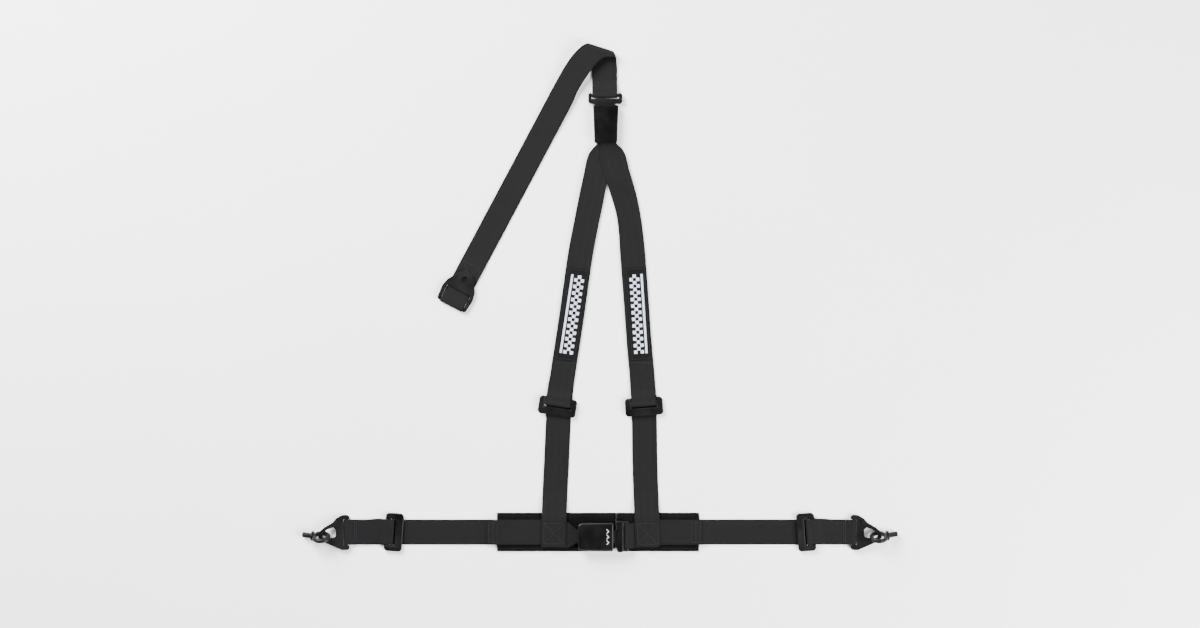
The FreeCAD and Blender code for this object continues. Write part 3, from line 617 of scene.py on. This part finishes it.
def lap_end(side):
    """The adjusting loop: round the hook's bar, back on top, and round the slide's bar."""
    sign = SIDES[side]
    bar = np.array(joints[f"hook_swing_{side}"]["pos_m"]) / MM
    slide = np.array(centre_of(f"slide_frame_lap_{side}"))
    reach = abs(bar[0]) - abs(slide[0])
    inward = np.array([-sign, 0.0])
    tilt = math.radians(4)
    turned = np.array([-sign * math.cos(tilt), -math.sin(tilt)])

    def sides(s):
        share = smooth_share(s, 40, 70)
        straight = bar[:2] + inward * s
        tilted = slide + turned * (s - reach)
        centre = straight * (1 - share) + tilted * share
        along = inward * (1 - share) + turned * share
        along /= np.linalg.norm(along)
        across = np.array([along[1], -along[0]]) * HALF_WEB
        return centre - across, centre + across

    profile = [(25, FLOOR_LAYER), (0, FLOOR_LAYER)] + arc((0, 5.2), 4.5, -90, -270)
    profile += [(22, SECOND_LAYER)] + round_slide(reach)
    ribbon = Webbing(f"lap_loop_webbing_{side}", profile, sides, waves=False)
    finish(ribbon.obj, WEBBING,
           (f"lap_pull_{side}", f"lap_slide_{side}",
            (sign * 0.480, LAP_Y * MM, 0), (sign * 0.447, LAP_Y * MM, 0)),
           [f"lap_loop_{side}", f"slide_wrap_lap_{side}"])
    sewn = Stitching()
    loop = 25 + 4.5 * math.pi
    for run in (loop + 17, loop + 20.5):
        sewn.seam(on_ribbon(ribbon), (run, -21), (run, 21))
    finish(sewn.build(f"lap_loop_seam_{side}"), THREAD, f"lap_pull_{side}")


# ---- shoulder straps ----

def shoulder_plan(side):
    """Both edges of a shoulder strap in plan, at a distance towards the yoke."""
    names = [f"shoulder_strap_{side}"] + (["shoulder_strap_right_end"] if side == "right" else [])
    where, low, high = strip_edges(names, np.array([0, 1, 0]), np.array([1, 0, 0]),
                                   np.arange(-498, 322, 4.0))

    def sides(y):
        return (np.interp(y, where, low), y), (np.interp(y, where, high), y)
    return sides


def shoulder_strap(side):
    """The layer that lies on the surface, from its sewn end on the lap strap to the yoke."""
    rise = [(-499, 8.3), (-440, 8.3), (-425, 5.5), (-390, FLOOR_LAYER)]
    if side == "left":
        profile = rise + [(190, FLOOR_LAYER), (215, SECOND_LAYER), (285, SECOND_LAYER),
                          (305, 4.1), (322, 4.1)]
        body, replaced = "root", ["shoulder_strap_left"]
    else:
        profile = rise + [(290, FLOOR_LAYER), (304, 2.5), (322, 2.5)]
        body = ("right_lap", "root", (0.09, -0.40, 0), (0.09, -0.245, 0))
        replaced = ["shoulder_strap_right", "shoulder_strap_right_end"]
    ribbon = Webbing(f"shoulder_webbing_{side}", profile, shoulder_plan(side))
    finish(ribbon.obj, WEBBING, body, replaced)
    sewn = Stitching()
    sewn.box_seam(on_ribbon(ribbon), (7, 48), 20)
    finish(sewn.build(f"shoulder_seam_{side}"), THREAD,
           "root" if side == "left" else "right_lap")


def shoulder_return(side):
    """The upper layer: from the yoke's bar down to the slide, and round the slide's bar."""
    slide = np.array(centre_of(f"slide_frame_shoulder_{side}"))
    angle = {"left": -98.5, "right": -86.0}[side]
    turned = np.array([math.cos(math.radians(angle)), math.sin(math.radians(angle))])
    plan = shoulder_plan(side)

    def sides(s):
        share = smooth_share(s, 150, 180)
        west, east = (np.array(p) for p in plan(-s))
        tilted = slide + turned * (s + slide[1])
        across = np.array([turned[1], -turned[0]]) * HALF_WEB
        return (east * (1 - share) + (tilted - across) * share,
                west * (1 - share) + (tilted + across) * share)

    yoke_bar, yoke_z = 320.0, 8.2
    radius = 4.1 if side == "left" else 5.7
    profile = arc((-yoke_bar, yoke_z), radius, -90, -270)
    if side == "left":
        profile += [(-296, 5.7), (-275, 3.9), (-205, 3.9), (-175, SECOND_LAYER)]
    else:
        profile += [(-296, 7.3), (-275, 5.5), (-232, 5.5), (-198, SECOND_LAYER)]
    profile += round_slide(-slide[1])
    ribbon = Webbing(f"shoulder_return_webbing_{side}", profile, sides)
    sewn = Stitching()
    hem = ribbon.length - 100
    sewn.seam(on_ribbon(ribbon), (hem, -22), (hem, 22))
    finish(sewn.build(f"shoulder_hem_{side}"), THREAD, f"shoulder_slide_{side}")
    top, bottom = ribbon.point(30, 0), ribbon.point(ribbon.length - 260, 0)
    finish(ribbon.obj, WEBBING,
           ("root", f"shoulder_slide_{side}", tuple(top * MM * (1, 1, 0)),
            tuple(bottom * MM * (1, 1, 0))),
           [f"shoulder_return_{side}", f"slide_wrap_shoulder_{side}"])


# ---- tail strap ----

TAIL_ORIGIN = np.array([-299.0, -18.0])
TAIL_ALONG = np.array([0.47, 0.883]) / math.hypot(0.47, 0.883)
FOLD_Y, FOLD_Z, FOLD_RADIUS = 491.5, 10.0, 7.7
# The ends of the fold where its layers part, and of its crest.
FOLD_ENDS = np.array([-35.0, 502.5]), np.array([32.5, 480.5])
CREST_ENDS = np.array([-24.5, 507.6]), np.array([26.8, 491.2])
# Where the tail's two edges bend, from the straight part to the fold.
TAIL_BEND_LEFT = [(-79, 447), (-68, 465), (-55, 483), (-45, 494)]
TAIL_BEND_RIGHT = [(-41.5, 417), (-24, 444), (-6, 468), (8, 479)]


def between(first, last, share):
    return [a * (1 - share) + b * share for a, b in zip(first, last)]


def tail_fold():
    """From the yoke's top bar to the fold, and up round it."""
    x, bar, bar_z, bend = 9.2, 403.5, 8.2, 460.0
    near = (np.array([x - HALF_WEB, bend]), np.array([x + HALF_WEB, bend]))

    def sides(s):
        if s <= bend:
            return (x - HALF_WEB, s), (x + HALF_WEB, s)
        if s <= FOLD_Y:
            return between(near, FOLD_ENDS, (s - bend) / (FOLD_Y - bend))
        return between(FOLD_ENDS, CREST_ENDS, (s - FOLD_Y) / FOLD_RADIUS)

    profile = [(452, FLOOR_LAYER), (424, FLOOR_LAYER), (bar, bar_z - 4.5)]
    profile += arc((bar, bar_z), 4.5, -90, -270)
    ripple = 0.35
    profile += [(434 + 6 * k, SECOND_LAYER + ripple * (k % 2)) for k in range(9)]
    profile += [(FOLD_Y, SECOND_LAYER)] + arc((FOLD_Y, FOLD_Z), FOLD_RADIUS, -90, 90, 24)
    ribbon = Webbing("tail_fold_webbing", profile, sides, waves=False)
    start = np.array([0, FOLD_Y, 3.3])
    end = start + np.array([1.0, 3.1, 12.9])
    finish(ribbon.obj, WEBBING, ("root", "tail", tuple(start * MM), tuple(end * MM)),
           ["tail_strap_root", "tail_fold"])


def tail_strap():
    """The long free part, from the loop in the anchor plate to the fold."""
    aside = np.array([TAIL_ALONG[1], -TAIL_ALONG[0]]) * HALF_WEB
    stations = []
    for s in (-20.0, 120.0, 300.0, 440.0, 470.0):
        middle = TAIL_ORIGIN + TAIL_ALONG * s
        stations.append((s, middle - aside, middle + aside))
    for left, right in [*zip(TAIL_BEND_LEFT, TAIL_BEND_RIGHT), FOLD_ENDS]:
        left, right = np.array(left, float), np.array(right, float)
        stations.append((((left + right) / 2 - TAIL_ORIGIN) @ TAIL_ALONG, left, right))
    places = np.array([s for s, _, _ in stations])
    edges = [np.array([pair[i] for pair in stations]) for i in (1, 2)]
    curves = [[smooth_curve(places, edge[:, i]) for i in (0, 1)] for edge in edges]

    end = places[-1]

    def sides(s):
        if s > end:
            return between(FOLD_ENDS, CREST_ENDS, (s - end) / FOLD_RADIUS)
        return tuple((curve[0](s), curve[1](s)) for curve in curves)

    bar = 5.4
    profile = [(95, FLOOR_LAYER), (bar, FLOOR_LAYER)] + arc((bar, 5.2), 4.5, -90, -270)
    profile += [(35, SECOND_LAYER), (99, SECOND_LAYER), (112, FLOOR_LAYER), (380, FLOOR_LAYER),
                (500, 8.0), (565, 16.2)]
    profile += arc((end, FOLD_Z + 0.06), FOLD_RADIUS, 90, 35)
    ribbon = Webbing("tail_webbing", profile, sides)
    finish(ribbon.obj, WEBBING, "tail", ["tail_strap"])
    sewn = Stitching()
    loop = 95 - bar + 4.5 * math.pi
    sewn.box_seam(on_ribbon(ribbon), (loop + 50, loop + 88), 20)
    finish(sewn.build("tail_seam"), THREAD, "tail")


def smooth_curve(places, values):
    """A smooth line through values at places (a cubic Hermite spline)."""
    slopes = np.gradient(values, places)

    def at(s):
        s = min(max(s, places[0]), places[-1])
        i = min(max(int(np.searchsorted(places, s)) - 1, 0), len(places) - 2)
        gap = places[i + 1] - places[i]
        t = (s - places[i]) / gap
        return ((2 * t ** 3 - 3 * t ** 2 + 1) * values[i] + (t ** 3 - 2 * t ** 2 + t) * gap
                * slopes[i] + (3 * t ** 2 - 2 * t ** 3) * values[i + 1]
                + (t ** 3 - t ** 2) * gap * slopes[i + 1])
    return at


# ---- pads ----

def lap_pad(side):
    """A flat stuffed pad: rounded edges, a bound border, and a faint unevenness."""
    low, high = (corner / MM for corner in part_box(f"lap_pad_{side}"))
    thick = high.z - low.z
    columns = int((high.x - low.x) / 3)
    rows = int((high.y - low.y) / 3)
    # The inner low corner is cut off; the rows there are drawn in to fit it.
    cut_wide, cut_high = (6.8, 9.0) if side == "left" else (4.0, 9.0)
    inner = high.x if side == "left" else low.x

    def drawn_in(x, y):
        """x, moved off the cut corner."""
        near_corner = max(1 - abs(x - inner) / 24, 0.0)
        cut = cut_wide * max(1 - (y - low.y) / cut_high, 0.0)
        return x - cut * near_corner if side == "left" else x + cut * near_corner

    def rim(x, y):
        """Distance in from the pad's outline."""
        inside = min(x - low.x, high.x - x, y - low.y, high.y - y)
        slope = math.hypot(cut_wide, cut_high)
        gap = (abs(x - inner) * cut_high + (y - low.y) * cut_wide - cut_wide * cut_high) / slope
        return max(min(inside, gap), 0.0)

    def height(x, y):
        gap = rim(x, y)
        rounded = math.sqrt(max(1 - (1 - min(gap / 2.2, 1.0)) ** 2, 0.0))
        groove = 0.45 * math.exp(-((gap - 8.5) / 1.1) ** 2)
        swell = 0.25 * math.sin(x * 0.09 + 1) * math.sin(y * 0.11) if gap > 10 else 0.0
        return 0.35 * thick + 0.6 * thick * rounded - groove + min(swell, 0.1)

    def spread(count, start, end):
        """Positions across the pad, closer together at its edges."""
        share = (1 - np.cos(np.linspace(0, math.pi, count))) / 2
        even = np.linspace(0, 1, count)
        return start + (end - start) * (0.35 * share + 0.65 * even)

    xs = spread(columns, low.x, high.x)
    ys = spread(rows, low.y, high.y)
    points = []
    for layer in (1, 0):
        for y in ys:
            for x in xs:
                px = drawn_in(x, y)
                under = 0.25 if rim(px, y) < 1 else 0.15
                points.append((px, y, height(px, y) if layer else under))
    body = "root" if side == "left" else "right_lap"
    pad = closed_sheet(f"lap_cushion_{side}", points, len(xs))
    finish(pad, PAD_CLOTH, body, [f"lap_pad_{side}"])

    def place(x, y, above=0.0):
        return np.array([x, y, height(x, y) + above])

    sewn = Stitching()
    inset = 6.0
    west, east = low.x + inset, high.x - inset
    south, north = low.y + inset, high.y - inset
    for first, last in (((west, south), (east, south)), ((west, north), (east, north)),
                        ((west, south), (west, north)), ((east, south), (east, north))):
        sewn.seam(place, first, last, pitch=4.0, length=3.0)
    finish(sewn.build(f"pad_seam_{side}"), PAD_THREAD, body)


# ---- labels ----

def label(side):
    """A woven patch with a plain chequered band, sewn on the shoulder strap's upper layer."""
    points, _ = mesh_arrays(f"label_{side}")
    middle = points.mean(axis=0)[:2]
    angle = math.radians({"left": -8.6, "right": 3.7}[side])
    across = np.array([math.cos(angle), math.sin(angle)])
    along = np.array([-math.sin(angle), math.cos(angle)])
    half_wide, half_long = 20.0, 92.5
    base = 3.05

    def place(run, aside, above=0.0):
        x, y = middle + along * run + across * aside
        return np.array([x, y, base + 0.75 + lift(x, y) * calm(x, y) + above])

    body = f"shoulder_slide_{side}"
    patch = patch_mesh(f"label_patch_{side}", place, (-half_long, half_long),
                       (-half_wide, half_wide), 0.75, 60, 8)
    finish(patch, LABEL_BLACK, body, [f"label_{side}"])
    sewn = Stitching()
    for first, last in (((-90, -18), (90, -18)), ((-90, 18), (90, 18)),
                        ((-90, -18), (-90, 18)), ((90, -18), (90, 18))):
        sewn.seam(place, first, last, pitch=3.0, length=2.4)
    finish(sewn.build(f"label_seam_{side}"), THREAD, body)
    chequers(side, place, body)


def chequers(side, place, body):
    """Raised off-white squares in three rows, with a plain line along one side."""
    points, faces = [], []
    square, rows, columns = 6.6, 3, 24
    start = -square * columns / 2
    shift = -3.4 * SIDES[side]
    for row in range(rows):
        for column in range(columns):
            if (row + column) % 2:
                continue
            run, aside = start + column * square, shift + (row - rows / 2) * square
            tile(points, faces, place, (run, run + square), (aside, aside + square), 0.22, 2)
    line = 11.4 * SIDES[side]
    tile(points, faces, place, (start, -start), (line - 2.2, line + 2.2), 0.22, 40)
    marks = mesh_object(f"label_chequers_{side}", points, faces, smooth=False)
    finish(marks, LABEL_WHITE, body)


def tile(points, faces, place, runs, asides, high, steps):
    """One raised patch that follows a surface, added to a mesh's lists."""
    base = len(points)
    for i in range(steps + 1):
        run = runs[0] + (runs[1] - runs[0]) * i / steps
        for aside in asides:
            points.append(place(run, aside, -0.3))
            inset = 0.12 if aside == asides[0] else -0.12
            points.append(place(run, aside + inset, high))
    for i in range(steps):
        a = base + i * 4
        faces.append((a, a + 4, a + 5, a + 1))
        faces.append((a + 1, a + 5, a + 7, a + 3))
        faces.append((a + 3, a + 7, a + 6, a + 2))
        faces.append((a + 2, a + 6, a + 4, a))
    last = base + steps * 4
    faces.append((base, base + 1, base + 3, base + 2))
    faces.append((last, last + 2, last + 3, last + 1))


def patch_mesh(name, place, runs, asides, thick, long_steps, wide_steps):
    """A thin closed sheet over a surface, with softened edges."""
    points = []
    runs_at = np.linspace(*runs, long_steps + 1)
    asides_at = np.linspace(*asides, wide_steps + 1)
    for layer in (0, 1):
        for i, run in enumerate(runs_at):
            for k, aside in enumerate(asides_at):
                rim = i in (0, long_steps) or k in (0, wide_steps)
                above = 0.0 if layer == 0 else -thick
                points.append(place(run, aside, above - (0.2 if rim and layer == 0 else 0.0)))
    return closed_sheet(name, points, wide_steps + 1)


# ---- metal and plastic ----

def eyebolt(side):
    """A forged eyebolt: a round ring, a rounded collar and a threaded shank."""
    hinge = joints[f"eyebolt_swing_{side}"]
    centre = np.array(hinge["pos_m"]) / MM
    ring_axis = np.array(hinge["axis"])
    shank = np.array(mounts[f"eyebolt_shank_{side}"]["axis"])
    shank = shank / np.linalg.norm(shank)
    cross = np.cross(ring_axis, shank)
    ring_radius, wire = 14.5, 4.4
    points, faces = [], []
    turns, round_wire = 48, 20
    for i in range(turns):
        a = math.tau * i / turns
        outward_dir = shank * math.cos(a) + cross * math.sin(a)
        for k in range(round_wire):
            b = math.tau * k / round_wire
            points.append(centre + outward_dir * (ring_radius + wire * math.cos(b))
                          + ring_axis * wire * math.sin(b))
    for i in range(turns):
        for k in range(round_wire):
            n, m = (i + 1) % turns, (k + 1) % round_wire
            faces.append((i * round_wire + k, n * round_wire + k, n * round_wire + m,
                          i * round_wire + m))
    add_shank(points, faces, centre, shank, cross, ring_axis)
    bolt = mesh_object(f"eyebolt_forging_{side}", points, faces)
    finish(bolt, HOOK_STEEL, f"eyebolt_{side}", [f"eyebolt_{side}"])


def add_shank(points, faces, centre, shank, cross, ring_axis):
    """A lathed collar and a thread, closed at both ends, along the shank's line."""
    crest, pitch, depth = 5.5, 1.27, 0.7
    outline = [(14.6, 4.6), (15.8, 5.6), (16.6, 8.6), (17.2, 9.6), (18.4, 9.95), (19.8, 9.6),
               (20.6, 8.7), (21.0, 5.2)]
    outline += [(21.0 + 0.17 * i, None) for i in range(2, 108)]
    outline += [(39.6, 4.3)]
    around = 28
    base = len(points)
    for x, radius in outline:
        for k in range(around):
            a = math.tau * k / around
            r = radius
            if r is None:
                wave = (x / pitch - k / around) % 1.0
                fade = min(1.0, (39.4 - x) / 1.2 + 0.35)
                r = (crest - depth * abs(2 * wave - 1)) * (0.86 + 0.14 * min(fade, 1.0))
            side = cross * math.cos(a) + ring_axis * math.sin(a)
            points.append(centre + shank * x + side * r)
    for i in range(len(outline) - 1):
        for k in range(around):
            a, b = base + i * around + k, base + i * around + (k + 1) % around
            faces.append((a, b, b + around, a + around))
    last = base + (len(outline) - 1) * around
    faces.append(tuple(base + k for k in range(around - 1, -1, -1)))
    faces.append(tuple(last + k for k in range(around)))


def slide_knurls(name, node, body):
    """Fine teeth along the slide's bar."""
    points, _ = mesh_arrays(node)
    middle = points.mean(axis=0)
    spread = points - middle
    _, _, axes = np.linalg.svd(spread, full_matrices=False)
    along = axes[0]
    half = np.abs(spread @ along).max()
    radius = np.linalg.norm(spread - np.outer(spread @ along, along), axis=1).max()
    side = np.cross(along, UP)
    made, faces = [], []
    teeth, count = 18, 60
    for i in range(count + 1):
        x = -half + 2 * half * i / count
        for k in range(teeth * 2):
            a = math.tau * k / (teeth * 2)
            twist = 0.5 + 0.5 * math.cos(math.pi * (i + k))
            r = radius - 0.22 * twist
            made.append(middle + along * x + (side * math.cos(a) + UP * math.sin(a)) * r)
    ring = teeth * 2
    for i in range(count):
        for k in range(ring):
            a, b = i * ring + k, i * ring + (k + 1) % ring
            faces.append((a, b, b + ring, a + ring))
    faces.append(tuple(range(ring - 1, -1, -1)))
    faces.append(tuple(range(count * ring, (count + 1) * ring)))
    bar = mesh_object(name, made, faces, smooth=False)
    finish(bar, SLIDE_STEEL, body, [node])


def flexing_spring(node, outer, start, end):
    """A spring with one end on the buckle and the other on a moving piece."""
    obj = bpy.data.objects.new(f"{node}_wire", nodes[node].data.copy())
    bpy.context.scene.collection.objects.link(obj)
    obj.data.shade_smooth()
    finish(obj, SPRING_STEEL, ("root", outer, start, end), [node])


def springs():
    """The buckle's springs, coils and leaf, copied from the CAD model in spring steel; nothing here makes the
    coils squash or the leaf bend.
    """
    for node, outer in (("button_springs", "release_button"), ("ejector_spring", "ejector")):
        low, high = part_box(node)
        flexing_spring(node, outer, (low.x + 0.001, low.y, low.z), (high.x - 0.001, low.y, low.z))
    low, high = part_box("latch_spring")
    flexing_spring("latch_spring", "latch", (low.x + 0.009, low.y, low.z),
                   (low.x + 0.018, low.y, low.z))


def buckle_marks():
    """Three small arrows on the buckle's top that point to the release button."""
    low, high = (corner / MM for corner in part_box("buckle_cover_upper"))
    top = high.z
    points, faces = [], []

    def place(run, aside, above=0.0):
        return np.array([high.x - 11 + aside, run, top + above])

    middle = (low.y + high.y) / 2
    for step in (-11, 0, 11):
        for sign in (-1, 1):
            chevron(points, faces, middle + step, sign, place)
    marks = mesh_object("buckle_marks", points, faces, smooth=False)
    finish(marks, LABEL_WHITE, "root")


def chevron(points, faces, run, sign, place):
    """Half of an arrow head, as a thin raised bar."""
    base = len(points)
    length, width, high = 4.2, 1.7, 0.12
    for x, y in ((-3.4, sign * length), (0.6, 0.0)):
        for shift in (0.0, width):
            points.append(place(run + y, x + shift, -0.05))
            points.append(place(run + y, x + shift, high))
    faces.extend([(base + 1, base + 3, base + 7, base + 5), (base, base + 4, base + 6, base + 2),
                  (base, base + 1, base + 5, base + 4), (base + 2, base + 6, base + 7, base + 3),
                  (base, base + 2, base + 3, base + 1), (base + 4, base + 5, base + 7, base + 6)])


def yoke_ribs():
    """Three low moulded ribs on the yoke's cover."""
    low, high = (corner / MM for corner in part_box("yoke_cover_front"))
    middle = (low.x + high.x) / 2
    points, faces = [], []

    def place(run, aside, above=0.0):
        return np.array([middle + aside, run, high.z + above])

    for k in range(3):
        y = high.y - 12 - 3.4 * k
        tile(points, faces, place, (y, y + 1.3), (-13, 13), 0.35, 1)
    ribs = mesh_object("yoke_ribs", points, faces, smooth=False)
    finish(ribs, YOKE_PLASTIC, "root")


def cad_materials():
    """Gives every CAD node that stays in sight its finish."""
    finishes = {"hook_steel": HOOK_STEEL, "slide_steel": SLIDE_STEEL, "bright_steel": BRIGHT_STEEL,
                "spring_steel": SPRING_STEEL, "buckle_plastic": BUCKLE_PLASTIC,
                "yoke_plastic": YOKE_PLASTIC, "button_plastic": BUTTON_PLASTIC,
                "webbing": WEBBING, "pad": PAD_CLOTH, "label": LABEL_BLACK}
    for row in record["subparts"]:
        obj = nodes[row["node"]]
        obj.data.materials.clear()
        obj.data.materials.append(finishes[row["material_slot"]])
        obj.data.shade_smooth()
        obj.data.set_sharp_from_angle(angle=math.radians(28))


# ---- the whole harness ----

cad_materials()
for side in SIDES:
    lap_strap(side)
    lap_end(side)
    lap_pad(side)
    shoulder_strap(side)
    shoulder_return(side)
    label(side)
    eyebolt(side)
    for place in ("lap", "shoulder"):
        slide_knurls(f"knurled_bar_{place}_{side}", f"slide_bar_{place}_{side}",
                     f"{place}_slide_{side}")
tail_fold()
tail_strap()
springs()
buckle_marks()
yoke_ribs()


# ---- floor, light and camera ----

def floor():
    mesh = bpy.data.meshes.new("floor")
    half, level = 9.0, -0.0004
    mesh.from_pydata([(-half, -half, level), (half, -half, level),
                      (half, half, level), (-half, half, level)], [], [(0, 1, 2, 3)])
    obj = bpy.data.objects.new("floor", mesh)
    bpy.context.scene.collection.objects.link(obj)
    obj.data.materials.append(floor_material())


def area_light(name, place, target, size, power):
    data = bpy.data.lights.new(name, "AREA")
    data.shape = "RECTANGLE"
    data.size, data.size_y = size
    data.energy = power
    obj = bpy.data.objects.new(name, data)
    obj.location = place
    obj.rotation_mode = "QUATERNION"
    obj.rotation_quaternion = (Vector(target) - Vector(place)).to_track_quat("-Z", "Y")
    bpy.context.scene.collection.objects.link(obj)


def lights():
    """A studio with bright walls and a dark ceiling, and two soft boxes."""
    world = bpy.data.worlds.new("studio")
    world.use_nodes = True
    tree = world.node_tree
    background = tree.nodes["Background"]
    background.inputs["Color"].default_value = (1, 1, 1, 1)
    direction = tree.nodes.new("ShaderNodeTexCoord")
    height = tree.nodes.new("ShaderNodeSeparateXYZ")
    fade = tree.nodes.new("ShaderNodeMapRange")
    fade.interpolation_type = "SMOOTHSTEP"
    tree.links.new(direction.outputs["Generated"], height.inputs[0])
    tree.links.new(height.outputs["Z"], fade.inputs["Value"])
    wall_top, ceiling, wall_light, ceiling_light = 0.12, 0.72, 1.8, 0.08
    for socket, value in zip(fade.inputs[1:5], (wall_top, ceiling, wall_light, ceiling_light)):
        socket.default_value = value
    tree.links.new(fade.outputs["Result"], background.inputs["Strength"])
    bpy.context.scene.world = world
    area_light("key_softbox", (-2.0, 2.2, 2.2), (0, 0, 0), (2.2, 2.2), 720)
    area_light("fill_softbox", (2.6, -1.4, 2.0), (0, -0.1, 0), (2.0, 2.4), 440)


def camera():
    """Straight above, through a long lens; the frame is 2.4 m wide at the surface."""
    data = bpy.data.cameras.new("camera")
    data.lens = 85
    data.sensor_width = 36
    view_width, look_y = 2.4, -0.033
    obj = bpy.data.objects.new("camera", data)
    obj.location = (0, look_y, view_width * data.lens / data.sensor_width)
    bpy.context.scene.collection.objects.link(obj)
    bpy.context.scene.camera = obj


floor()
lights()
camera()
